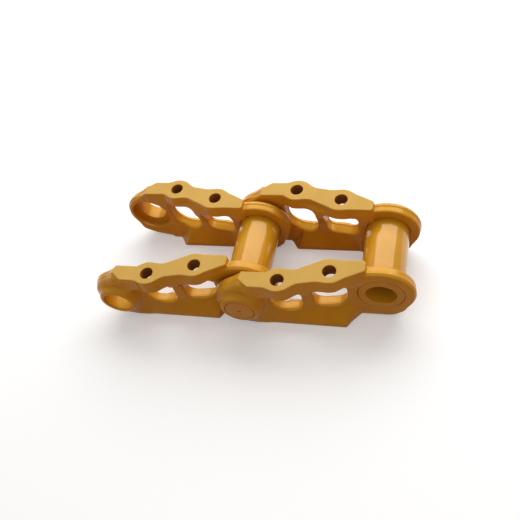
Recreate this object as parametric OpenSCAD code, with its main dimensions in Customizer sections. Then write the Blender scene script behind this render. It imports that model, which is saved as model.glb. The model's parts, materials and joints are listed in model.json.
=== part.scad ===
// Two pitches of an excavator track chain: two pairs of forged offset links, joined by a pin in a bushing.
// X runs along the chain, Z points from the rails to the shoe pads, and the chain is mirrored about Y = 0.

/* [Chain] */
// Distance between the joint axes of one link
pitch = 216; // [212:1:240]
// Height of the joint axes above the rails
axis_h = 61; // [60:1:66]
// Height of the shoe pads above the joint axes
pad_rise = 57.5; // [56:0.5:64]
// Gap between the faces of neighbouring links at the rails
link_gap = 2.5; // [1:0.5:4]

/* [Pin end] */
// Thickness of the pin end
pin_end_t = 32; // [28:0.5:36]
// Radius of the pin end at its forging seam
pin_end_r = 44; // [42:0.5:48]
// How far the draft draws the round ends in
draft_in = 2; // [0.5:0.5:4]
// Radius of the collar's face around the pin bore
collar_r = 30; // [28:0.5:33]
// How much wider the collar is at its foot
collar_flare = 5; // [1:0.5:6]
// Height of the collar
collar_h = 10; // [4:0.5:14]
// Inward lean of the pin end's outer face from axis to rail
outer_lean = 8; // [2:0.5:12]
// Outward lean of the pin end's inner face from rail to axis
inner_lean = 4; // [1:0.5:6]
// How far the pin end's shoulders lie below the pad
shoulder_drop = 8; // [3:0.5:14]
// Height of the pin end's heel above the rail
pin_heel_h = 19; // [14:1:24]
// Where the pin end's foot meets the rail, from the pin axis
pin_toe = 12; // [6:1:16]

/* [Bushing end] */
// Clear width between the two bushing ends of a pair
throat_w = 102; // [90:1:110]
// Thickness of the bushing end
eye_t = 19; // [16:0.5:24]
// Radius of the bushing end at its forging seam
eye_r = 52; // [49:0.5:54]
// Reach of the bushing end's heel past the bushing axis
eye_heel = 34; // [30:1:38]
// Height of the bushing end's heel above the rail
eye_heel_h = 17; // [13:1:22]
// Where the bushing end's foot leaves the rail, past the bushing axis
eye_toe = 3; // [0:0.5:8]

/* [Shoe pad] */
// Thickness of the pad
pad_t = 23; // [16:0.5:26]
// Spacing of the bolt holes across the chain at the pin end
gauge_pin = 178.4; // [174:0.2:184]
// Spacing of the bolt holes across the chain at the bushing end
gauge_bush = 138.4; // [134:0.2:144]
// Distance from the pin axis to the first bolt hole
first_hole = 67.6; // [64:0.2:72]
// Distance between the bolt holes along the chain
hole_pitch = 76.2; // [72:0.2:80]
// Diameter of the bolt holes
hole_d = 21; // [16:0.5:24]
// Radius of the pad around a bolt hole
pad_r = 20.8; // [18:0.2:23]
// Where the pad starts, from the pin axis
pad_start = 5; // [0:1:12]
// How far the pad ends before the bushing axis
pad_short = 20; // [12:1:28]
// Length of the slant at the pad's start
pad_slant = 18; // [10:1:22]
// How far the pad stands back from the bushing end's outer face
pad_step = 3.5; // [2:0.5:6]
// How far the pad overhangs the bushing end's inner face
pad_over = 1.5; // [0.5:0.5:3]
// Radius of the pad's small corners
pad_corner = 3; // [1:0.5:4]
// Radius of the pad's sweeping bends between the bolt holes
pad_bend = 12; // [6:0.5:14]

/* [Rail] */
// How far the rail's inner edge stands back from the bushing end's inner face
rail_back = 2.5; // [1:0.5:5]
// Width of the rail at mid link
rail_w = 43.5; // [38:0.5:46]
// Height of the rail's upright edges
rail_head = 8; // [4:0.5:14]
// Radius about the joint axes that the rail leaves free at a link's face
swing_r = 73.5; // [70:0.5:78]
// How much that radius grows to the far edge of the rail
swing_flare = 11; // [6:0.5:14]

/* [Windows] */
// Width of the window at the pin end
window_1_w = 51; // [46:1:53]
// Width of the window at the bushing end
window_2_w = 49; // [44:1:52]
// Height of the first window's floor above the rail
floor_1 = 36; // [32:1:44]
// Height of the second window's floor above the rail
floor_2 = 43; // [38:1:52]
// Radius of the first window's sweeping corner towards the pin
sweep_1_r = 27; // [16:0.5:32]
// Radius of the second window's sweeping corner towards the bushing
sweep_2_r = 17; // [10:0.5:22]
// Radius of the windows' lower corners at the strut
window_low_r = 12; // [6:0.5:16]
// Radius of the windows' upper corners
window_top_r = 10; // [4:0.5:12]
// Width of the strut between the windows
strut_w = 16; // [12:0.5:20]
// How far the strut stands past the middle between the bolt holes
strut_shift = 2; // [0:0.5:6]
// How far the web reaches inside the first bolt hole's middle
web_in_1 = 14; // [10:0.5:18]
// How far the web reaches outside the first bolt hole's middle
web_out_1 = 3; // [1:0.5:8]
// How far the web reaches inside the second bolt hole's middle
web_in_2 = 8; // [5:0.5:14]
// How far the web reaches outside the second bolt hole's middle
web_out_2 = 15; // [12:0.5:18]
// How far the web draws in past the second bolt hole
web_taper = 4; // [1:0.5:6]

/* [Pin and bushing] */
// Diameter of the track pin
pin_d = 47; // [40:0.5:50]
// How far the pin stands out of the collars
pin_proud = 0.5; // [0:0.5:3]
// Radius of the dimple in the pin ends
dimple_r = 4.5; // [3:0.5:7]
// Outer diameter of the bushing
bush_d = 70; // [64:0.5:74]
// Radial running clearance of the pin in the bushing
pin_play = 0.1; // [0.05:0.01:0.1]
// How far the bushing stands out of the bushing end
bush_proud = 1; // [0:0.1:2]
// Bevel on the ends of pin and bushing
end_bevel = 1.5; // [0.5:0.1:2.5]

/* [Joint seals] */
// Depth of the seal counterbore in the pin end
cbore_d = 12; // [9:0.5:14]
// How much wider than the bushing the counterbore is, on radius
cbore_room = 0.5; // [0.3:0.1:2]
// Radial wall of the thrust ring
thrust_w = 4.7; // [3.5:0.1:5]
// Clearance of the rings on the pin, the bushing end and the counterbore
ring_play = 0.3; // [0.2:0.05:0.5]
// Thickness of the wearing lip
lip_t = 9; // [7:0.1:11]

/* [Hidden] */
$fn = 96;

// Overlap of joined shapes and of cuts
over = 1;

// Distances across the chain, from its middle plane
eye_in = throat_w / 2;
eye_out = eye_in + eye_t;
pin_in = eye_out + link_gap;
pin_face = pin_in + inner_lean;
pin_out = pin_in + pin_end_t;
collar_y = pin_out + collar_h;
bush_y = eye_out + bush_proud;
cbore_y = pin_face + cbore_d;
rail_in = eye_in + rail_back;
rail_out = rail_in + rail_w;

// Heights above the rails
pad_top = axis_h + pad_rise;
pad_under = pad_top - pad_t;

// Radii about the joint axis
pin_r = pin_d / 2;
bush_r = bush_d / 2;
bore_r = pin_r + pin_play;
cbore_r = bush_r + cbore_room;
thrust_r = pin_r + ring_play + thrust_w;

// Bolt holes, as places in plan
hole_1 = [first_hole, gauge_pin / 2];
hole_2 = [first_hole + hole_pitch, gauge_bush / 2];

// Windows along the chain, one on each side of the strut
strut_mid = (hole_1.x + hole_2.x) / 2 + strut_shift;
window_1_x = strut_mid - strut_w / 2 - window_1_w;
window_2_x = strut_mid + strut_w / 2;

// Lower corners of the link ends, from the joint axis
pin_slant = pin_end_r * cos(45) - over;
pin_foot = [
    [over + draft_in - pin_end_r, 0], [-pin_slant, pin_heel_h - axis_h], [0, over - axis_h], [pin_toe, -axis_h]
];
eye_foot = [[eye_toe, -axis_h], [eye_heel, eye_heel_h - axis_h], [eye_r - draft_in - over, 0]];

// The web between rail and pad, as [distance from the pin axis, inner face, outer face]
web = [
    [pin_toe, pin_in, rail_out - over],
    [hole_1.x, hole_1.y - web_in_1, hole_1.y + web_out_1],
    [hole_2.x, hole_2.y - web_in_2, hole_2.y + web_out_2],
    [hole_2.x + pad_r / 2, hole_2.y - web_in_2, hole_2.y + web_out_2 - web_taper],
    [pitch - eye_r / 2, eye_in, eye_out]
];

chain_shift = (2 * pitch + eye_r - pin_end_r) / 2;
paint = [0.85, 0.62, 0.22];

// The points of a corner rounded to radius r, where a and b are its neighbours
function corner(a, p, b, r, steps = 6) =
    let (
        u = (a - p) / norm(a - p),
        v = (b - p) / norm(b - p),
        half = acos(u * v) / 2,
        middle = p + (u + v) / norm(u + v) * r / sin(half),
        from = p + u * r / tan(half) - middle,
        turn = cross(u, v) > 0 ? 2 * half - 180 : 180 - 2 * half
    )
    [
        for (i = [0:steps])
            let (w = turn * i / steps)
                middle + [from.x * cos(w) - from.y * sin(w), from.x * sin(w) + from.y * cos(w)]
    ];

// An outline of [x, y, radius] corners, with each corner of some radius rounded
function rounded(c) =
    let (n = len(c), p = [for (q = c) [q.x, q.y]])
    [
        for (i = [0:n - 1])
            each c[i].z > 0 ? corner(p[(i + n - 1) % n], p[i], p[(i + 1) % n], c[i].z) : [p[i]]
    ];

// A point of the pad's outline on the boss around bolt hole h
function on_boss(h, angle) = h + pad_r * [cos(angle), sin(angle)];

// An outline corner at point p, rounded to radius r
function bend(p, r) = [p.x, p.y, r];

// A side outline (X, Z) drawn out across the chain
module across(from, to) {
    translate([0, to, 0])
        rotate([90, 0, 0])
            linear_extrude(to - from)
                children();
}

// A section (Y, Z) drawn out along the chain
module along(from, to) {
    translate([from, 0, 0])
        rotate([90, 0, 90])
            linear_extrude(to - from)
                children();
}

// A round across the chain at a joint axis
module round_at(x, r, from, to) {
    translate([x, from, axis_h])
        rotate([-90, 0, 0])
            cylinder(r = r, h = to - from);
}

// A round link end with a forging seam at mid thickness and draft to both sides
module seamed_end(x, r, from, to) {
    translate([x, 0, axis_h])
        rotate([-90, 0, 0])
            rotate_extrude()
                polygon([
                    [0, from], [r - draft_in, from], [r, (from + to) / 2], [r - draft_in, to], [0, to]
                ]);
}

// Plan of the shoe pad, stepping from the pin end's strip over two hole bosses to the bushing end's strip
module pad_plan() {
    pad_end = pitch - pad_short;
    polygon(rounded([
        [pad_start + pad_corner, pin_face, pad_corner],
        [pad_start, (pin_face + pin_out) / 2, pad_corner],
        [pad_start + pad_slant, pin_out, 2 * pad_corner],
        [hole_1.x - pad_r, pin_out, 0],
        bend(on_boss(hole_1, 50), 0),
        [hole_1.x + 1.5 * pad_r, hole_1.y + pad_r / 4, pad_bend],
        [hole_2.x - pad_r, hole_2.y + pad_r, pad_bend],
        bend(on_boss(hole_2, 65), pad_corner),
        [pad_end, eye_out - pad_step, pad_corner / 2],
        [pad_end, eye_in - pad_over, pad_corner / 2],
        [hole_2.x - pad_r / 2, hole_2.y - pad_r, pad_bend],
        [hole_1.x + 1.2 * pad_r, hole_1.y - pad_r, pad_bend],
        bend(on_boss(hole_1, 255), pad_corner),
        [hole_1.x - pad_r, pin_face, pad_corner]
    ]));
    for (h = [hole_1, hole_2])
        translate(h)
            circle(pad_r);
}

// The rail and its flanks, drawn in from the rail's edges to the foot of the web
module rail() {
    rings = [
        for (w = web)
            each [
                [w.x, rail_in, rail_head], [w.x, rail_out, rail_head],
                [w.x, w.z, floor_1], [w.x, w.y, floor_1]
            ]
    ];
    last = 4 * (len(web) - 1);
    sides = [
        for (i = [0:4:last - 4], j = [0:3])
            let (k = (j + 1) % 4)
                each [[i + j, i + 4 + j, i + 4 + k], [i + j, i + 4 + k, i + k]]
    ];
    polyhedron(rings, [[0, 1, 2, 3], each sides, [last + 3, last + 2, last + 1, last]]);
    translate([pin_toe, rail_in, 0])
        cube([pitch + eye_toe - pin_toe, rail_w, rail_head]);
}

// Side outline of one window, with the radii of its lower corners towards the pin and towards the bushing
module window_side(x, w, z, pin_low, bush_low) {
    most = pad_under - z - window_top_r - over;
    polygon(rounded([
        [x, z, min(pin_low, most)],
        [x + w, z, min(bush_low, most)],
        [x + w, pad_under, window_top_r],
        [x, pad_under, window_top_r]
    ]));
}

// The round pin end, its foot on the rail and the block that carries the pad
module pin_end() {
    block_end = window_1_x + window_top_r;
    intersection() {
        union() {
            seamed_end(0, pin_end_r, pin_in, pin_out);
            across(pin_in, pin_out)
                translate([0, axis_h])
                    polygon([
                        [pad_start, pad_rise - shoulder_drop], [-pin_slant, pin_slant],
                        [0, 0], each pin_foot, [block_end, -axis_h],
                        [block_end, pad_rise - shoulder_drop]
                    ]);
        }
        along(-2 * pin_end_r, pitch)
            polygon([
                [pin_in, 0], [pin_out - outer_lean, 0], [pin_out, axis_h - pin_r], [pin_out, pad_top],
                [pin_face, pad_top], [pin_face, axis_h - pin_r]
            ]);
        linear_extrude(pad_top)
            polygon([
                [-2 * pin_end_r, 0], [block_end, 0], [block_end, rail_out - over], [collar_r, pin_out],
                [-2 * pin_end_r, pin_out]
            ]);
    }
    translate([0, pin_out, axis_h])
        rotate([-90, 0, 0])
            cylinder(r1 = collar_r + collar_flare, r2 = collar_r, h = collar_h);
}

// The round bushing end and its foot on the rail
module bushing_end() {
    inner_end = window_2_x + window_2_w - over - pitch;
    intersection() {
        union() {
            seamed_end(pitch, eye_r, eye_in, eye_out);
            across(eye_in, eye_out)
                translate([pitch, axis_h])
                    polygon([
                        [inner_end, -axis_h], each eye_foot, [0, 0],
                        [0, eye_r - draft_in - over], [inner_end, eye_r - draft_in - over]
                    ]);
        }
        along(0, 2 * pitch)
            polygon([
                [rail_in, 0], [eye_out, 0], [eye_out, pad_top], [eye_in, pad_top], [eye_in, rail_head]
            ]);
    }
}

// A cone about a joint axis, that leaves room for a neighbour's end to swing
module swing_room(x, near, far) {
    reach = abs(far - near);
    translate([x, near, axis_h])
        rotate([far > near ? -90 : 90, 0, 0])
            cylinder(r1 = swing_r, r2 = swing_r + swing_flare, h = reach);
}

// Rail, web and strut at mid link, cut back where the neighbours' ends swing
module mid_link() {
    difference() {
        union() {
            rail();
            translate([0, 0, floor_1 - over])
                linear_extrude(pad_under - floor_1 + 2 * over)
                    polygon([for (w = web) [w.x, w.y], for (i = [len(web) - 1:-1:0]) [web[i].x, web[i].z]]);
        }
        swing_room(0, pin_in, eye_in - over);
        swing_room(pitch, eye_out, rail_out + over);
    }
}

// One left link, with its pin axis at X = 0
module link() {
    difference() {
        union() {
            translate([0, 0, pad_under])
                linear_extrude(pad_t)
                    pad_plan();
            pin_end();
            bushing_end();
            mid_link();
        }
        across(0, collar_y + over) {
            window_side(window_1_x, window_1_w, floor_1, sweep_1_r, window_low_r);
            window_side(window_2_x, window_2_w, floor_2, window_low_r, sweep_2_r);
        }
        for (h = [hole_1, hole_2])
            translate([h.x, h.y, pad_under - over])
                cylinder(d = hole_d, h = pad_t + 2 * over);
        round_at(0, pin_r, 0, collar_y + over);
        round_at(0, cbore_r, 0, cbore_y);
        round_at(pitch, bush_r, 0, eye_out + over);
    }
}

// A piece of the chain placed at joint 0, 1 or 2, where side 1 is left and side -1 is right
module place(joint, side) {
    translate([joint * pitch - chain_shift, 0, 0])
        mirror([0, side < 0 ? 1 : 0, 0])
            children();
}

module painted_link(joint, side) {
    color(paint)
        place(joint, side)
            link();
}

// A hollow bushing across a pair, with bevelled ends
module bushing(joint) {
    color(paint)
        place(joint, 1)
            translate([0, 0, axis_h])
                rotate([-90, 0, 0])
                    rotate_extrude()
                        polygon([
                            [bore_r, -bush_y], [bush_r - end_bevel, -bush_y], [bush_r, end_bevel - bush_y],
                            [bush_r, bush_y - end_bevel], [bush_r - end_bevel, bush_y], [bore_r, bush_y]
                        ]);
}

// The pin across the second pair, with bevelled ends and a dimple in each
module track_pin() {
    pin_y = collar_y + pin_proud;
    color(paint)
        place(1, 1)
            translate([0, 0, axis_h])
                rotate([-90, 0, 0])
                    rotate_extrude()
                        polygon([
                            [0, dimple_r - pin_y], [dimple_r, -pin_y], [pin_r - end_bevel, -pin_y],
                            [pin_r, end_bevel - pin_y], [pin_r, pin_y - end_bevel],
                            [pin_r - end_bevel, pin_y], [dimple_r, pin_y], [0, pin_y - dimple_r]
                        ]);
}

// A ring of the middle joint, from its section (radius, distance from the middle plane)
module joint_ring(side) {
    place(1, side)
        translate([0, 0, axis_h])
            rotate([-90, 0, 0])
                rotate_extrude()
                    children();
}

// Spacer between the bushing's end and the counterbore's floor
module thrust_ring(side) {
    color("silver")
        joint_ring(side)
            translate([pin_r + ring_play, bush_y + ring_play])
                square([thrust_w, cbore_y - bush_y - 2 * ring_play]);
}

// Wearing ring, thinned to a lip where it runs on the bushing's end
module seal_lip(side) {
    inside = thrust_r + ring_play;
    outside = cbore_r - ring_play;
    color("dimgray")
        joint_ring(side)
            polygon([
                [inside, bush_y + ring_play + lip_t], [inside, bush_y + ring_play + lip_t / 2],
                [(inside + outside) / 2, bush_y + ring_play], [bush_r - end_bevel, bush_y + ring_play],
                [outside, bush_y + ring_play + lip_t / 2], [outside, bush_y + ring_play + lip_t]
            ]);
}

// Elastic ring between the wearing ring and the counterbore's floor
module load_ring(side) {
    inside = thrust_r + 2 * ring_play;
    outside = cbore_r - ring_play;
    ease = (outside - inside) / 4;
    low = bush_y + ring_play + lip_t;
    color("black")
        joint_ring(side)
            polygon([
                [inside, low + ease], [inside + ease, low], [outside - ease, low], [outside, low + ease],
                [outside, cbore_y - ease], [outside - ease, cbore_y], [inside + ease, cbore_y],
                [inside, cbore_y - ease]
            ]);
}

painted_link(0, -1);  // link_1_right
painted_link(0, 1);  // link_1_left
painted_link(1, -1);  // link_2_right
painted_link(1, 1);  // link_2_left
bushing(1);  // bushing_1
bushing(2);  // bushing_2
track_pin();
thrust_ring(-1);  // thrust_ring_right
thrust_ring(1);  // thrust_ring_left
seal_lip(-1);  // seal_lip_right
seal_lip(1);  // seal_lip_left
load_ring(-1);  // load_ring_right
load_ring(1);  // load_ring_left
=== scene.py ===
"""Looks of an excavator track chain: forged links, turned pin and bushings, joint rings and a studio."""

import json
import math

import bpy
import numpy as np
from mathutils import Matrix, Vector


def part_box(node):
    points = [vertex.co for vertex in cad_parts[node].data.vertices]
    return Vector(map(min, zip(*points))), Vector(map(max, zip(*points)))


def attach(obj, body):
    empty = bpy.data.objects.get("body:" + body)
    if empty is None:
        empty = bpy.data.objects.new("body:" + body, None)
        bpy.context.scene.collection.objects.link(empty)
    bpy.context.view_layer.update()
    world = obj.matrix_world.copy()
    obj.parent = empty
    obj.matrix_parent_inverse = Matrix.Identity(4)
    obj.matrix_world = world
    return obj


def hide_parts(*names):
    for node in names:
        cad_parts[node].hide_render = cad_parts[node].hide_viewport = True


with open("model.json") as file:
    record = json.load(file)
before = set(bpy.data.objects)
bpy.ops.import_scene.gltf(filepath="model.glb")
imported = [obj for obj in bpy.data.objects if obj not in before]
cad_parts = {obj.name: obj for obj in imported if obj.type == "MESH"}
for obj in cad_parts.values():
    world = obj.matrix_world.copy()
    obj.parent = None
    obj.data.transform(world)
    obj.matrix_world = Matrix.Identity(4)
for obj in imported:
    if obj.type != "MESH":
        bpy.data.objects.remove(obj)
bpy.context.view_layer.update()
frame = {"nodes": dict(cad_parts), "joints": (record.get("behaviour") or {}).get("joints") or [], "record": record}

# Sizes taken from the frame, in millimetres
MM = 0.001
mounts = {m["name"]: m for m in frame["record"]["mounts"]}
joints = {j["name"]: j for j in frame["joints"]}


def corners_of(node):
    """Lowest and highest corner of a CAD node, in millimetres."""
    return [np.array(corner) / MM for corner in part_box(node)]


PIVOT = np.array(joints["chain_pivot"]["pos_m"]) / MM
OPEN_PIN = np.array(mounts["pin_bores"]["pos_m"]) / MM
LINK_LOW, LINK_HIGH = corners_of("link_1_left")
PITCH = PIVOT[0] - OPEN_PIN[0]
AXIS_H = PIVOT[2]
PAD_TOP = LINK_HIGH[2]
COLLAR_Y = LINK_HIGH[1]
PIN_END_R = OPEN_PIN[0] - LINK_LOW[0]
EYE_R = LINK_HIGH[0] - PIVOT[0]
PIN_R = mounts["pin_bores"]["dims"]["r_mm"]
BORE_R = mounts["bushing_bore"]["dims"]["r_mm"]
BUSH_R = (corners_of("bushing_1")[1] - corners_of("bushing_1")[0])[2] / 2
BUSH_Y = corners_of("bushing_1")[1][1]
PIN_Y = corners_of("track_pin")[1][1]
CBORE_Y = corners_of("load_ring_left")[1][1]
HOLES = [
    (mounts[name]["pos_m"][0] / MM - OPEN_PIN[0], mounts[name]["dims"]["spacing_y_mm"] / 2)
    for name in ("shoe_bolts_1_pin_side", "shoe_bolts_1_bushing_side")
]
HOLE_R = mounts["shoe_bolts_1_pin_side"]["dims"]["hole_r_mm"]

# Sizes of the forging, in millimetres from the pin axis, the middle plane and the rails
BUSH_PROUD, LINK_GAP = 1.0, 2.5
EYE_T, PIN_END_T = 19, 32
INNER_LEAN, OUTER_LEAN = 4, 3
EYE_OUT = BUSH_Y - BUSH_PROUD
EYE_IN = EYE_OUT - EYE_T
PIN_IN = EYE_OUT + LINK_GAP
PIN_FACE = PIN_IN + INNER_LEAN
PIN_OUT = PIN_IN + PIN_END_T
FOOT_IN = 3.0
SEAM_W, SEAM_H, SEAM_EDGE = 1.6, 0.7, 0.8
PIN_DRAFT, EYE_DRAFT = 0.07, 0.09
COLLAR_R, COLLAR_FOOT_R, COLLAR_IN = 30.0, 35.0, 6
CBORE_ROOM = 0.5
CBORE_R = BUSH_R + CBORE_ROOM
PAD_T, PAD_R, PAD_OVER, PAD_ROOT = 23, 20.8, 3.5, 9
PAD_UNDER = PAD_TOP - PAD_T
SHOULDER_DROP = 1.5
SHOULDER_Z = PAD_TOP - SHOULDER_DROP
RAIL_BACK, RAIL_W, RAIL_HEAD = 2.5, 43.5, 8.0
RAIL_IN = EYE_IN + RAIL_BACK
RAIL_OUT = RAIL_IN + RAIL_W
BLOCK_SUNK, RAIL_SUNK, WEB_UP = 5, 1, 4
SWING_IN_R, SWING_IN_FLARE, SWING_OUT_R = 73.5, 0.43, 54.5
WALL_BACK, WALL_SLANT, WALL_SUNK = 55, 0.63, 6
FLOOR_1, FLOOR_2 = 36.0, 43.0
STRUT_W, STRUT_SHIFT, STRUT_LEAN = 18.5, -0.5, 8
STRUT_X = (HOLES[0][0] + HOLES[1][0]) / 2 + STRUT_SHIFT
WINDOW_1_W, WINDOW_2_W, WINDOW_DROP = 50.0, 51.5, 6
WINDOW_DRAFT, STRUT_DRAFT_SHARE = math.tan(math.radians(11)), 0.35
GROOVE_W, GROOVE_H = 1.1, 2.5
CELL = 1.0

# Lengths over which edges are rounded and joins filleted, in millimetres
FOOT_FILLET, COLLAR_FILLET, END_FILLET, BOSS_FILLET, WALL_FILLET = 4, 4, 5, 6, 10
PIN_EDGE, COLLAR_EDGE, EYE_IN_EDGE, EYE_OUT_EDGE = 4, 3, 3, 4
PAD_EDGE, SWING_EDGE, WINDOW_EDGE, OUTER_EDGE = 6, 3, 2.5, 1.6
BLOCK_EDGE_LOW, BLOCK_EDGE_GROWTH = 3, 10
WALL_EDGE_LOW, WALL_EDGE_GROWTH = 1.5, 13
PAD_FILLET_LOW, PAD_FILLET_GROWTH = 3, 11
EYE_FILLET_LOW, EYE_FILLET_GROWTH = 4, 14

# Ranges over which a form comes in, from none to all of it, in millimetres
BLOCK_SUNK_X, BLOCK_EDGE_Z = (COLLAR_R - 16, COLLAR_R + 22), (10, 45)
STRUT_LEAN_Z, STRUT_LEAN_X, STRUT_LEAN_BACK_X = (52, 88), (78, 100), (165, 145)
STRUT_DRAFT_X = (STRUT_W / 2, 1.4 * STRUT_W)
RAIL_SUNK_X = (60, 28)
WALL_SUNK_X, WALL_EDGE_Z = (PITCH - 46, PITCH - 30), (4, 28)
WINDOW_DROP_Y = (80, 104)
PAD_FILLET_X, PAD_FILLET_Y, PAD_FILLET_Z = (46, 62), (82, 92), (PAD_TOP - 5, PAD_TOP - 15)
EYE_FILLET_X, EYE_FILLET_Y, EYE_FILLET_Z = (PITCH - 30, PITCH - 44), (62, 70), (92, 72)

# Lines along the link, as (distance from the pin axis, distance from the middle plane)
SEAM = [(30, PIN_IN + 17), (60, PIN_IN + 17), (90, 84.5), (145, 79), (PITCH - 25, EYE_OUT - 6)]
WEB_IN = [
    (28, PIN_IN + 4), (60, 76), (75, 74), (99, 69), (116, 64.5), (145, 61), (158, 58), (172, EYE_IN),
    (PITCH - 26, EYE_IN + 3),
]
WEB_OUT = [
    (2, RAIL_OUT - 2), (50, 94), (80, 92), (107, 86.5), (125, 85.5), (145, 84.5), (PITCH - 26, EYE_OUT - 3),
]


# Outlines and distance fields, negative inside a shape
def arc_corner(before, point, after, radius, steps=8):
    """Points of a corner rounded to a radius."""
    before, point, after = map(np.array, (before, point, after))
    u = (before - point) / np.linalg.norm(before - point)
    v = (after - point) / np.linalg.norm(after - point)
    half = math.acos(np.clip(u @ v, -1, 1)) / 2
    middle = point + (u + v) / np.linalg.norm(u + v) * radius / math.sin(half)
    start = point + u * radius / math.tan(half) - middle
    turn = (2 * half - math.pi) if u[0] * v[1] - u[1] * v[0] > 0 else (math.pi - 2 * half)
    angles = np.linspace(0, turn, steps + 1)
    return [
        (
            middle[0] + start[0] * math.cos(a) - start[1] * math.sin(a),
            middle[1] + start[0] * math.sin(a) + start[1] * math.cos(a),
        )
        for a in angles
    ]


def rounded(corners):
    """Outline of (u, v, radius) corners, with each corner of some radius rounded."""
    points = [c[:2] for c in corners]
    outline = []
    for i, (u, v, radius) in enumerate(corners):
        if radius:
            outline += arc_corner(points[i - 1], points[i], points[(i + 1) % len(points)], radius)
        else:
            outline.append((u, v))
    return outline


def polygon(u, v, outline):
    """Distance to an outline."""
    near = np.inf
    inside = np.zeros(np.broadcast(u, v).shape, bool)
    for (au, av), (bu, bv) in zip(outline, outline[1:] + outline[:1]):
        eu, ev = bu - au, bv - av
        along = np.clip(((u - au) * eu + (v - av) * ev) / (eu * eu + ev * ev), 0, 1)
        near = np.minimum(near, np.hypot(u - au - along * eu, v - av - along * ev))
        if ev:
            inside ^= ((av > v) != (bv > v)) & (u < au + (v - av) * eu / ev)
    return np.where(inside, -near, near)


def join(a, b, blend):
    """Both shapes, with a fillet where they meet."""
    near = np.maximum(blend - np.abs(a - b), 0) / blend
    return np.minimum(a, b) - near * near * blend / 4


def keep(a, b, blend):
    """What lies in both shapes, with a rounded edge."""
    return -join(-a, -b, blend)


def cut(a, b, blend):
    """The first shape without the second, with a rounded edge."""
    return keep(a, -b, blend)


def bent_line(x, stations, soft=6.0):
    """Line through (x, y) stations along the chain, with its bends rounded over a length."""
    places, values = zip(*stations)
    return np.mean([np.interp(x + s, places, values) for s in np.linspace(-soft, soft, 25)], axis=0)


def seam_fall(x, y, draft):
    """How far a forged face falls back on each side of the trimmed seam where the dies met."""
    off = np.abs(y - bent_line(x, SEAM)) - SEAM_W
    edge = np.clip(off / SEAM_EDGE, 0, 1)
    return draft * np.maximum(off, 0) + SEAM_H * edge * edge * (3 - 2 * edge)


# Outlines of the link, drawn once
PIN_SLANT = PIN_END_R * math.cos(math.radians(45)) - 1
BLOCK_X = STRUT_X - STRUT_W / 2 - WINDOW_1_W + 10
PIN_FOOT = rounded([
    (FOOT_IN - PIN_END_R, AXIS_H, 0),
    (-33, 20, 16),
    (-8, 8.5, 30),
    (30, 0, 30),
    (BLOCK_X, 0, 0),
    (BLOCK_X, SHOULDER_Z, 0),
    (5, SHOULDER_Z, 5),
    (-PIN_SLANT, AXIS_H + PIN_SLANT, 0),
])
EYE_FOOT = rounded([
    (PITCH - 50, 30, 0),
    (PITCH - 50, 0, 0),
    (PITCH + 17, 0, 30),
    (PITCH + 36, 16, 18),
    (PITCH + EYE_R - FOOT_IN, AXIS_H, 0),
    (PITCH, AXIS_H + EYE_R - FOOT_IN, 0),
    (PITCH - 42, AXIS_H + EYE_R - FOOT_IN, 0),
    (PITCH - 42, 42, 0),
])


def on_boss(hole, degrees):
    """Point of the pad's outline on the boss round a bolt hole."""
    a = math.radians(degrees)
    return hole[0] + PAD_R * math.cos(a), hole[1] + PAD_R * math.sin(a)


PAD = rounded([
    (8, PIN_FACE, 3),
    (5, (PIN_FACE + PIN_OUT) / 2, 3),
    (23, PIN_OUT, 6),
    (HOLES[0][0] - PAD_R, PIN_OUT, 0),
    (*on_boss(HOLES[0], 50), 0),
    (HOLES[0][0] + 1.5 * PAD_R, HOLES[0][1] + PAD_R / 4, 14),
    (HOLES[1][0] - PAD_R, HOLES[1][1] + PAD_R, 14),
    (*on_boss(HOLES[1], 65), 3),
    (PITCH - 20, EYE_OUT - 3.5, 4),
    (PITCH - 20, EYE_IN - PAD_OVER, 5),
    (HOLES[1][0] - PAD_R / 2, HOLES[1][1] - PAD_R, 14),
    (HOLES[0][0] + 1.2 * PAD_R, HOLES[0][1] - PAD_R, 14),
    (*on_boss(HOLES[0], 255), 3),
    (HOLES[0][0] - PAD_R, PIN_FACE, 3),
])


def window_outline(x, width, floor, pin_low, bush_low):
    """Side outline of a window, with the radii of its lower corners at the pin's and the bushing's side."""
    pin_top, bush_top = 10, 9
    return rounded([
        (x, floor, pin_low), (x + width, floor, bush_low),
        (x + width, PAD_UNDER, bush_top), (x, PAD_UNDER, pin_top),
    ])


WINDOWS = [
    window_outline(STRUT_X - STRUT_W / 2 - WINDOW_1_W, WINDOW_1_W, FLOOR_1, 27, 12),
    window_outline(STRUT_X + STRUT_W / 2, WINDOW_2_W, FLOOR_2, 11, 17),
]


def ease(value, start, end):
    """A smooth step from 0 at the start to 1 at the end."""
    share = np.clip((value - start) / (end - start), 0, 1)
    return share * share * (3 - 2 * share)


def flank(x, z, edge, web):
    """Face of the mid link, which runs from the rail's edge to the web at the windows' sills."""
    rise = np.clip((z - RAIL_HEAD) / (FLOOR_1 - RAIL_HEAD), 0, 1)
    return edge + (bent_line(x, web) - edge) * rise


def pin_lean(z):
    """Share of the pin end's lean that is reached at a height."""
    return np.clip(z / (AXIS_H - PIN_R), 0, 1)


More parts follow.
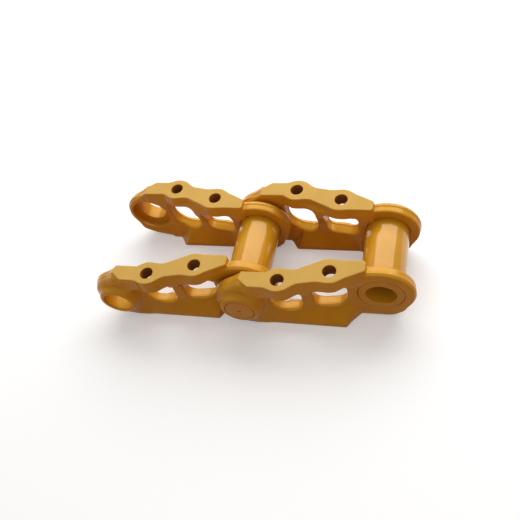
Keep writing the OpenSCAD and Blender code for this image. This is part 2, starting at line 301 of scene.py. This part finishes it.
def pin_end(x, y, z):
    """Round end that holds the pin, with its heel, its block under the pad and its collar."""
    inner = PIN_IN + INNER_LEAN * pin_lean(z)
    outer = PIN_OUT - OUTER_LEAN * (1 - pin_lean(z))
    sunk = flank(x, z, RAIL_OUT, WEB_OUT) - BLOCK_SUNK
    outer = outer + (sunk - outer) * ease(x, *BLOCK_SUNK_X)
    side = join(np.hypot(x, z - AXIS_H) - PIN_END_R, polygon(x, z, PIN_FOOT), FOOT_FILLET)
    side = side + seam_fall(x, y, PIN_DRAFT)
    edge = BLOCK_EDGE_LOW + BLOCK_EDGE_GROWTH * ease(z, *BLOCK_EDGE_Z)
    block = keep(keep(side, inner - y, PIN_EDGE), y - outer, edge)
    slope = (COLLAR_FOOT_R - COLLAR_R) / (COLLAR_Y - PIN_OUT)
    collar = np.hypot(x, z - AXIS_H) - COLLAR_R - slope * (COLLAR_Y - y)
    collar = keep(collar, y - COLLAR_Y, COLLAR_EDGE)
    collar = keep(collar, PIN_FACE + COLLAR_IN - y, COLLAR_EDGE)
    return join(block, collar, COLLAR_FILLET)


def eye(x, y, z):
    """Round end that holds the bushing, with the seam round it."""
    side = join(np.hypot(x - PITCH, z - AXIS_H) - EYE_R, polygon(x, z, EYE_FOOT), FOOT_FILLET)
    side = side + seam_fall(x, y, EYE_DRAFT)
    return keep(keep(side, EYE_IN - y, EYE_IN_EDGE), y - EYE_OUT, EYE_OUT_EDGE)


def mid_link(x, y, z):
    """Rail, web and strut, with room at both ends for the next links to swing."""
    lean = STRUT_LEAN * ease(z, *STRUT_LEAN_Z) * ease(x, *STRUT_LEAN_X) * ease(x, *STRUT_LEAN_BACK_X)
    inner = flank(x, z, RAIL_IN, WEB_IN) - lean
    slab = np.maximum(inner - y, y - flank(x, z, RAIL_OUT, WEB_OUT))
    slab = np.maximum(slab, np.maximum(WEB_IN[0][0] - x, x - WEB_IN[-1][0]))
    slab = np.maximum(slab, z - PAD_UNDER - WEB_UP)
    depth = PIN_IN + (RAIL_SUNK + INNER_LEAN * pin_lean(z)) * ease(x, *RAIL_SUNK_X) - y
    room = np.maximum(np.hypot(x, z - AXIS_H) - SWING_IN_R - SWING_IN_FLARE * depth, -depth)
    slab = cut(slab, room, SWING_EDGE)
    depth = y - EYE_OUT + WALL_SUNK * ease(x, *WALL_SUNK_X)
    wall = PITCH - WALL_BACK + WALL_SLANT * (RAIL_OUT - y) - x
    room = join(np.hypot(x - PITCH, z - AXIS_H) - SWING_OUT_R, wall, WALL_FILLET)
    edge = WALL_EDGE_LOW + WALL_EDGE_GROWTH * ease(z, *WALL_EDGE_Z)
    return cut(slab, np.maximum(room, -depth), edge)


def window_top(y):
    """Height of the windows' top, which is lower towards the outside."""
    return PAD_UNDER - WINDOW_DROP * ease(y, *WINDOW_DROP_Y)


def shoe_pad(x, y, z):
    """Pad that carries the shoe, with a boss round each bolt hole."""
    plan = polygon(x, y, PAD)
    for hole in HOLES:
        plan = join(plan, np.hypot(x - hole[0], y - hole[1]) - PAD_R, BOSS_FILLET)
    return keep(plan, PAD_UNDER - PAD_ROOT - z, PAD_EDGE)


def forging(x, y, z):
    """One left link before its bores are cut."""
    body = join(mid_link(x, y, z), pin_end(x, y, z), END_FILLET)
    share = ease(z, *PAD_FILLET_Z) * np.maximum(ease(y, *PAD_FILLET_Y), ease(x, *PAD_FILLET_X))
    body = join(body, shoe_pad(x, y, z), PAD_FILLET_LOW + PAD_FILLET_GROWTH * share)
    share = ease(y, *EYE_FILLET_Y) * ease(x, *EYE_FILLET_X) * ease(z, *EYE_FILLET_Z)
    body = join(body, eye(x, y, z), EYE_FILLET_LOW + EYE_FILLET_GROWTH * share)
    off_strut = ease(np.abs(x - STRUT_X), *STRUT_DRAFT_X)
    draft = WINDOW_DRAFT * (STRUT_DRAFT_SHARE + (1 - STRUT_DRAFT_SHARE) * off_strut)
    for outline in WINDOWS:
        window = polygon(x, z, outline) - seam_fall(x, y, draft)
        body = cut(body, np.maximum(window, z - window_top(y)), WINDOW_EDGE)
    return keep(keep(body, z - PAD_TOP, OUTER_EDGE), -z, OUTER_EDGE)


# Meshes
def skin(field, low, high, cell):
    """Points and quads of a field's zero surface, with one point in each grid cell that it crosses."""
    axes = [np.arange(a - 3 * cell, b + 4 * cell, cell) for a, b in zip(low, high)]
    values = field(axes[0][:, None, None], axes[1][None, :, None], axes[2][None, None, :])
    points, owners, quads = [], [], []
    for axis in range(3):
        near = np.delete(values, -1, axis)
        far = np.delete(values, 0, axis)
        edges = np.argwhere((near < 0) != (far < 0))
        start, end = near[tuple(edges.T)], far[tuple(edges.T)]
        crossing = np.stack([axes[i][edges[:, i]] for i in range(3)], axis=1)
        crossing[:, axis] += cell * start / (start - end)
        ring = []
        for b, c in ((0, 0), (-1, 0), (-1, -1), (0, -1)):
            owner = edges.copy()
            owner[:, (axis + 1) % 3] += b
            owner[:, (axis + 2) % 3] += c
            ring.append(np.ravel_multi_index(owner.T, values.shape))
            points.append(crossing)
            owners.append(ring[-1])
        quad = np.stack(ring, axis=1)
        quads.append(np.where((start < 0)[:, None], quad, quad[:, ::-1]))
    used, place = np.unique(np.concatenate(owners), return_inverse=True)
    points = np.concatenate(points)
    count = np.bincount(place)
    vertices = np.stack([np.bincount(place, points[:, i]) / count for i in range(3)], axis=1)
    return vertices, np.searchsorted(used, np.concatenate(quads))


def settle(field, points, step=0.02, rounds=3):
    """Points moved onto a field's zero surface."""
    for _ in range(rounds):
        value = field(*points.T)
        slope = np.stack([(field(*(points + step * e).T) - value) / step for e in np.eye(3)], axis=1)
        move = slope * (value / np.maximum((slope**2).sum(1), 0.2))[:, None]
        points = points - np.clip(move, -CELL / 2, CELL / 2)
    return points


def new_object(name, points, faces):
    """A new object in the scene, from points in millimetres."""
    mesh = bpy.data.meshes.new(name)
    mesh.from_pydata((np.asarray(points) * MM).tolist(), [], faces)
    obj = bpy.data.objects.new(name, mesh)
    bpy.context.scene.collection.objects.link(obj)
    return obj


def turned(name, profile, segments=144):
    """Solid turned about the Y axis from an outline of (radius, y) points, whose ends may lie on the axis."""
    points, faces, rings = [], [], []
    for radius, y in profile:
        if radius < 1e-6:
            rings.append([len(points)] * segments)
            points.append((0, y, 0))
        else:
            angles = np.arange(segments) * 2 * math.pi / segments
            rings.append(list(range(len(points), len(points) + segments)))
            points += [(radius * math.sin(a), y, radius * math.cos(a)) for a in angles]
    for ring, following in zip(rings, rings[1:] + rings[:1]):
        for i in range(segments):
            k = (i + 1) % segments
            loop = list(dict.fromkeys([ring[i], ring[k], following[k], following[i]]))
            if len(loop) > 2:
                faces.append(loop)
    return new_object(name, points, faces)


def outward(obj):
    """Turns a closed mesh's faces outwards."""
    mesh = obj.data
    mesh.calc_loop_triangles()
    volume = 0
    for triangle in mesh.loop_triangles:
        a, b, c = (mesh.vertices[i].co for i in triangle.vertices)
        volume += a.dot(b.cross(c))
    if volume < 0:
        mesh.flip_normals()
    return obj


def soften(mesh, degrees=50):
    """Smooth shading, apart from edges sharper than an angle."""
    mesh.polygons.foreach_set("use_smooth", [True] * len(mesh.polygons))
    mesh.set_sharp_from_angle(angle=math.radians(degrees))


def bores():
    """Cutters of one left link: pin bore with counterbore, bushing bore and bolt holes."""
    beyond, bolt_segments, bolt_bevel = 2.0, 72, 0.6
    inside = PIN_IN - 20
    pin_groove_r = PIN_R + GROOVE_W
    pin = turned("cut_pin", [
        (0, inside), (CBORE_R, inside), (CBORE_R, CBORE_Y), (PIN_R, CBORE_Y),
        (PIN_R, COLLAR_Y - GROOVE_H), (pin_groove_r, COLLAR_Y - GROOVE_H),
        (pin_groove_r, COLLAR_Y + beyond), (0, COLLAR_Y + beyond),
    ])
    groove_r = BUSH_R + GROOVE_W
    bush = turned("cut_bushing", [
        (0, EYE_IN - beyond), (groove_r, EYE_IN - beyond), (groove_r, EYE_IN + GROOVE_H),
        (BUSH_R, EYE_IN + GROOVE_H), (BUSH_R, EYE_OUT - GROOVE_H), (groove_r, EYE_OUT - GROOVE_H),
        (groove_r, EYE_OUT + beyond), (0, EYE_OUT + beyond),
    ])
    cutters = [outward(pin), outward(bush)]
    pin.data.transform(Matrix.Translation((0, 0, AXIS_H * MM)))
    bush.data.transform(Matrix.Translation((PITCH * MM, 0, AXIS_H * MM)))
    upright = Matrix.Rotation(math.radians(90), 4, "X")
    low, high = PAD_UNDER - 12, PAD_TOP + bolt_bevel
    for i, (x, y) in enumerate(HOLES):
        hole = turned(f"cut_bolt_{i}", [
            (0, low), (HOLE_R, low), (HOLE_R, PAD_TOP - bolt_bevel),
            (HOLE_R + 2 * bolt_bevel, high), (0, high),
        ], bolt_segments)
        hole.data.transform(upright)
        hole.data.transform(Matrix.Translation((x * MM, y * MM, 0)))
        cutters.append(outward(hole))
    return cutters


def bored(blank, cutters):
    """The blank's mesh with every cutter taken out of it."""
    for cutter in cutters:
        modifier = blank.modifiers.new(cutter.name, "BOOLEAN")
        modifier.operation = "DIFFERENCE"
        modifier.solver = "MANIFOLD"
        modifier.object = cutter
    mesh = bpy.data.meshes.new_from_object(blank.evaluated_get(bpy.context.evaluated_depsgraph_get()))
    for obj in [blank, *cutters]:
        bpy.data.objects.remove(obj)
    mesh.materials.clear()
    soften(mesh)
    return mesh


def mark_holes(mesh):
    """Gives the walls of the bolt holes the second material, a dark brown that is painted shade of the deep holes.
    """
    slack, steepest, lowest = 0.1, 0.3, PAD_UNDER - 10
    for face in mesh.polygons:
        middle = face.center / MM
        near = min(math.hypot(middle.x - x, middle.y - y) for x, y in HOLES)
        wall = near < HOLE_R + slack and abs(face.normal.z) < steepest
        face.material_index = int(wall and middle.z > lowest)


def link_mesh():
    """One left link with its pin axis at X = 0."""
    low = np.array([-PIN_END_R, LINK_LOW[1], 0])
    high = np.array([PITCH + EYE_R, COLLAR_Y, PAD_TOP])
    points, quads = skin(forging, low, high, CELL)
    blank = new_object("blank", settle(forging, points), quads.tolist())
    mesh = bored(blank, bores())
    mark_holes(mesh)
    return mesh


# Materials
def principled(name):
    """A new material with its node tree and Principled shader."""
    material = bpy.data.materials.new(name)
    material.use_nodes = True
    tree = material.node_tree
    return material, tree, next(n for n in tree.nodes if n.type == "BSDF_PRINCIPLED")


def add(tree, kind, **inputs):
    """A new node with some of its inputs set or linked."""
    node = tree.nodes.new(kind)
    for name, value in inputs.items():
        socket = node.inputs[name.replace("_", " ")]
        if isinstance(value, bpy.types.NodeSocket):
            tree.links.new(value, socket)
        else:
            socket.default_value = value
    return node


def ramp(tree, factor, low, high):
    """A factor turned into a colour between two."""
    node = add(tree, "ShaderNodeValToRGB", Fac=factor)
    node.color_ramp.elements[0].position, node.color_ramp.elements[1].position = 0.3, 0.7
    node.color_ramp.elements[0].color, node.color_ramp.elements[1].color = (*low, 1), (*high, 1)
    return node.outputs["Color"]


def span(tree, factor, low, high):
    """A factor turned into a number between two."""
    node = add(tree, "ShaderNodeMapRange", Value=factor, To_Min=low, To_Max=high)
    return node.outputs["Result"]


def blend(tree, kind, factor, low, high):
    """Two colours or numbers, mixed by a factor."""
    node = tree.nodes.new("ShaderNodeMix")
    node.data_type = kind
    first = {"FLOAT": 2, "RGBA": 6}[kind]
    for socket, value in ((0, factor), (first, low), (first + 1, high)):
        tree.links.new(value, node.inputs[socket])
    return next(socket for socket in node.outputs if socket.enabled)


def yellow_paint(name, low, high, smooth, rough, specular, coat, pad=None):
    """Thick paint over a forged skin: faint clouds of colour, soft waviness and fine orange peel.

    A pad's colours and roughness, where given, show on the link's machined top, whose paler colour is partly its
    own finish and partly painted sheen; the faces below it that look up are glossier and get a yellower colour,
    a painted sheen of the light from above.
    """
    material, tree, shader = principled(name)
    coordinates = tree.nodes.new("ShaderNodeTexCoord")
    place = coordinates.outputs["Object"]
    clouds = add(tree, "ShaderNodeTexNoise", Vector=place, Scale=24.0, Detail=4.0).outputs["Fac"]
    waves = add(tree, "ShaderNodeTexNoise", Vector=place, Scale=70.0, Detail=2.0).outputs["Fac"]
    peel = add(tree, "ShaderNodeTexNoise", Vector=place, Scale=520.0, Detail=1.0).outputs["Fac"]
    colour = ramp(tree, clouds, low, high)
    roughness = span(tree, waves, smooth, rough)
    if pad:
        height = add(tree, "ShaderNodeSeparateXYZ", Vector=place).outputs["Z"]
        low_edge, high_edge = (PAD_TOP - 0.4) * MM, (PAD_TOP - 0.1) * MM
        top = add(tree, "ShaderNodeMapRange", Value=height, From_Min=low_edge, From_Max=high_edge)
        top = top.outputs["Result"]
        # On the machined top the colour turns paler, partly its own finish and partly painted sheen of the
        # overhead light
        colour = blend(tree, "RGBA", top, colour, ramp(tree, clouds, *pad[:2]))
        roughness = blend(tree, "FLOAT", top, roughness, span(tree, waves, *pad[2:]))
        upward = add(tree, "ShaderNodeSeparateXYZ", Vector=coordinates.outputs["Normal"]).outputs["Z"]
        below = tree.nodes.new("ShaderNodeMath")
        below.operation = "MULTIPLY"
        tree.links.new(upward, below.inputs[0])
        tree.links.new(span(tree, top, 1, 0), below.inputs[1])
        # Faces below the pad that look up get a yellower colour, a painted sheen of the light from above, and a
        # higher real gloss
        upward_sheen_and_gloss = add(tree, "ShaderNodeMapRange", Value=below.outputs["Value"], From_Min=0.4, From_Max=0.95)
        upward_sheen_and_gloss = upward_sheen_and_gloss.outputs["Result"]
        colour = blend(tree, "RGBA", upward_sheen_and_gloss, colour, ramp(tree, clouds, *UPWARD_SHEEN_COLOURS))
        tree.links.new(span(tree, upward_sheen_and_gloss, specular, UPWARD_GLOSS), shader.inputs["Specular IOR Level"])
    tree.links.new(colour, shader.inputs["Base Color"])
    tree.links.new(roughness, shader.inputs["Roughness"])
    broad = add(tree, "ShaderNodeBump", Height=waves, Strength=0.1, Distance=0.002)
    broad = broad.outputs["Normal"]
    fine = add(tree, "ShaderNodeBump", Height=peel, Strength=0.05, Distance=0.0004, Normal=broad)
    tree.links.new(fine.outputs["Normal"], shader.inputs["Normal"])
    shader.inputs["Specular IOR Level"].default_value = specular
    shader.inputs["Specular Tint"].default_value = (*GLOSS_TINT, 1)
    shader.inputs["Coat Weight"].default_value = coat
    shader.inputs["Coat Roughness"].default_value = COAT_ROUGHNESS
    return material


def ground_steel():
    """Bare ground ring with a fine grain."""
    material, tree, shader = principled("thrust_steel")
    place = tree.nodes.new("ShaderNodeTexCoord").outputs["Object"]
    grain = add(tree, "ShaderNodeTexNoise", Vector=place, Scale=900.0, Detail=2.0).outputs["Fac"]
    tree.links.new(ramp(tree, grain, (0.42, 0.42, 0.43), (0.60, 0.60, 0.61)), shader.inputs["Base Color"])
    tree.links.new(span(tree, grain, 0.25, 0.4), shader.inputs["Roughness"])
    shader.inputs["Metallic"].default_value = 1.0
    return material


def seal_material(name, low, high, roughness):
    """Moulded seal material with a faint mottle."""
    material, tree, shader = principled(name)
    place = tree.nodes.new("ShaderNodeTexCoord").outputs["Object"]
    mottle = add(tree, "ShaderNodeTexNoise", Vector=place, Scale=300.0, Detail=3.0).outputs["Fac"]
    tree.links.new(ramp(tree, mottle, low, high), shader.inputs["Base Color"])
    spread = 0.08
    tree.links.new(span(tree, mottle, roughness - spread, roughness + spread), shader.inputs["Roughness"])
    bump = add(tree, "ShaderNodeBump", Height=mottle, Strength=0.1, Distance=0.0003)
    tree.links.new(bump.outputs["Normal"], shader.inputs["Normal"])
    return material


# Looks of the paints, as darker colour, lighter colour, lower and higher roughness, gloss and coat
LINK_LOOK = ((0.60, 0.24, 0.011), (0.68, 0.285, 0.015), 0.18, 0.28, 0.15, 0.0)
BUSHING_LOOK = ((0.58, 0.27, 0.012), (0.66, 0.32, 0.017), 0.14, 0.22, 0.4, 0.6)
# Dark brown of the bolt holes' walls is painted shade of the deep, narrow holes
HOLE_SHADE_LOOK = ((0.20, 0.070, 0.014), (0.28, 0.105, 0.020), 0.5, 0.6, 0.15, 0.0)
# The machined pad's paler, less saturated colour is partly its own finish and partly painted sheen of the overhead
# light
PAD_LOOK_AND_SHEEN = ((0.58, 0.345, 0.08), (0.63, 0.38, 0.095), 0.42, 0.52)
# Yellower colours of the faces that look up are a painted sheen of the overhead light; their raised gloss is real
UPWARD_SHEEN_COLOURS, UPWARD_GLOSS = ((0.575, 0.273, 0.02), (0.645, 0.313, 0.025)), 0.8
GLOSS_TINT, COAT_ROUGHNESS = (1.0, 0.62, 0.22), 0.06
LIP_COLOURS, LIP_ROUGHNESS = ((0.10, 0.075, 0.05), (0.15, 0.12, 0.08)), 0.4
RUBBER_COLOURS, RUBBER_ROUGHNESS = ((0.012, 0.012, 0.012), (0.03, 0.03, 0.03)), 0.6

# Link paint, with the pad top's partly painted sheen and the painted sheen on faces that look up
LINK_PAINT = yellow_paint("yellow_paint_link", *LINK_LOOK, PAD_LOOK_AND_SHEEN)
PAINT = yellow_paint("yellow_paint", *LINK_LOOK)
# Dark brown paint for the bolt holes' walls, painted shade of the deep holes
HOLE_SHADE_PAINT = yellow_paint("painted_hole_shade", *HOLE_SHADE_LOOK)
GLOSS_PAINT = yellow_paint("yellow_gloss_paint", *BUSHING_LOOK)
FINISHES = {
    "thrust_ring": ("thrust_steel", ground_steel()),
    "seal_lip": ("seal_lip", seal_material("seal_lip", *LIP_COLOURS, LIP_ROUGHNESS)),
    "load_ring": ("seal_rubber", seal_material("seal_rubber", *RUBBER_COLOURS, RUBBER_ROUGHNESS)),
}


# Pieces
def painted(obj, node, *paints):
    """A painted piece that stands for a CAD node."""
    for paint in paints:
        obj.data.materials.append(paint)
    body = next(b for b, members in frame["record"]["behaviour"]["bodies"].items() if node in members)
    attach(obj, body)
    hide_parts(node)
    return obj


def build_links():
    """Two pairs of links, of which the right ones are mirrored."""
    master = link_mesh()
    for pair, x in ((1, OPEN_PIN[0]), (2, PIVOT[0])):
        for side, sign in (("right", -1), ("left", 1)):
            mesh = master.copy()
            mesh.transform(Matrix.Translation((x * MM, 0, 0)) @ Matrix.Diagonal((1, sign, 1, 1)))
            if sign < 0:
                mesh.flip_normals()
            obj = bpy.data.objects.new(f"forged_link_{pair}_{side}", mesh)
            bpy.context.scene.collection.objects.link(obj)
            painted(obj, f"link_{pair}_{side}", LINK_PAINT, HOLE_SHADE_PAINT)
    bpy.data.meshes.remove(master)


def build_turned(name, node, profile, paint):
    """A turned and painted piece on the axis of its CAD node."""
    obj = outward(turned(name, rounded(profile)))
    middle = sum(corners_of(node)) / 2
    obj.data.transform(Matrix.Translation((middle[0] * MM, 0, middle[2] * MM)))
    soften(obj.data)
    flattest = 0.7
    for face in obj.data.polygons:
        face.material_index = int(abs(face.normal.y) > flattest)
    painted(obj, node, paint, PAINT)


def build_bushings():
    """Hollow bushings with rounded edges."""
    bore_edge, outer_edge = 1.2, 1.6
    profile = [
        (BORE_R, -BUSH_Y, bore_edge), (BUSH_R, -BUSH_Y, outer_edge),
        (BUSH_R, BUSH_Y, outer_edge), (BORE_R, BUSH_Y, bore_edge),
    ]
    for pair in (1, 2):
        build_turned(f"turned_bushing_{pair}", f"bushing_{pair}", profile, GLOSS_PAINT)


def build_pin():
    """Pin with a centre dimple in each end."""
    dimple_r, dimple_h, dimple_edge, dimple_taper, pin_edge = 2.4, 8.0, 0.4, 1, 1.0
    floor_r = dimple_r - dimple_edge
    profile = [
        (0, dimple_h - PIN_Y, 0), (floor_r, dimple_h - dimple_taper - PIN_Y, 0),
        (dimple_r, -PIN_Y, dimple_edge), (PIN_R, -PIN_Y, pin_edge),
        (PIN_R, PIN_Y, pin_edge), (dimple_r, PIN_Y, dimple_edge),
        (floor_r, PIN_Y - dimple_h + dimple_taper, 0), (0, PIN_Y - dimple_h, 0),
    ]
    build_turned("turned_pin", "track_pin", profile, PAINT)


def finish_rings():
    """The joint rings keep their CAD shape and get their own materials."""
    for node, obj in frame["nodes"].items():
        for kind, (slot, material) in FINISHES.items():
            if node.startswith(kind):
                obj.data.materials.clear()
                obj.data.materials.append(material)


# Studio
def seen_directly(tree):
    """1 for rays from the camera, from gloss and through glass, and 0 for light that bounces on."""
    path = tree.nodes.new("ShaderNodeLightPath")
    seen = path.outputs["Is Camera Ray"]
    for name in ("Is Glossy Ray", "Is Transmission Ray"):
        either = tree.nodes.new("ShaderNodeMath")
        either.operation = "MAXIMUM"
        tree.links.new(seen, either.inputs[0])
        tree.links.new(path.outputs[name], either.inputs[1])
        seen = either.outputs["Value"]
    return seen


def build_floor():
    """Pale floor, darker and warmer for light that bounces on from it."""
    size = 6.0
    corners = [(-size, -size, 0), (size, -size, 0), (size, size, 0), (-size, size, 0)]
    mesh = bpy.data.meshes.new("floor")
    mesh.from_pydata(corners, [], [(0, 1, 2, 3)])
    floor = bpy.data.objects.new("floor", mesh)
    bpy.context.scene.collection.objects.link(floor)
    material, tree, shader = principled("white_floor")
    seen = seen_directly(tree)
    tree.links.new(ramp(tree, seen, (0.34, 0.20, 0.11), (0.80, 0.80, 0.80)), shader.inputs["Base Color"])
    tree.links.new(span(tree, seen, 0, 0.28), shader.inputs["Emission Strength"])
    shader.inputs["Emission Color"].default_value = (1, 1, 1, 1)
    shader.inputs["Roughness"].default_value = 0.9
    shader.inputs["Specular IOR Level"].default_value = 0.1
    mesh.materials.append(material)


def area_light(name, place, target, size, power):
    """White softbox that faces a target."""
    data = bpy.data.lights.new(name, "AREA")
    data.shape = "RECTANGLE"
    data.size, data.size_y = size
    data.energy = power
    light = bpy.data.objects.new(name, data)
    light.location = place
    light.rotation_euler = (Vector(target) - Vector(place)).to_track_quat("-Z", "Y").to_euler()
    bpy.context.scene.collection.objects.link(light)


def build_light():
    """Even world light and one softbox behind the object."""
    world = bpy.data.worlds.new("studio")
    bpy.context.scene.world = world
    world.use_nodes = True
    tree = world.node_tree
    background = next(n for n in tree.nodes if n.type == "BACKGROUND")
    background.inputs["Color"].default_value = (1, 0.97, 0.93, 1)
    background.inputs["Strength"].default_value = 0.5
    area_light("softbox", place=(0.3, 1.4, 1.3), target=(0.3, 0.6, 0), size=(2.9, 1.5), power=44)


def build_camera():
    """Camera at the photo's viewing angle."""
    place = Vector((0.3016, -0.5567, 0.8484))
    right = Vector((0.9554, 0.2003, -0.2171)).normalized()
    forward = Vector((-0.2927, 0.5419, -0.7879)).normalized()
    up = right.cross(forward)
    data = bpy.data.cameras.new("camera")
    data.lens = 41.74
    data.sensor_width = 36
    camera = bpy.data.objects.new("camera", data)
    camera.matrix_world = Matrix.Translation(place) @ Matrix((right, up, -forward)).transposed().to_4x4()
    bpy.context.scene.collection.objects.link(camera)
    bpy.context.scene.camera = camera


build_links()
build_bushings()
build_pin()
finish_rings()
build_floor()
build_light()
build_camera()
bpy.context.scene.view_settings.view_transform = "Standard"
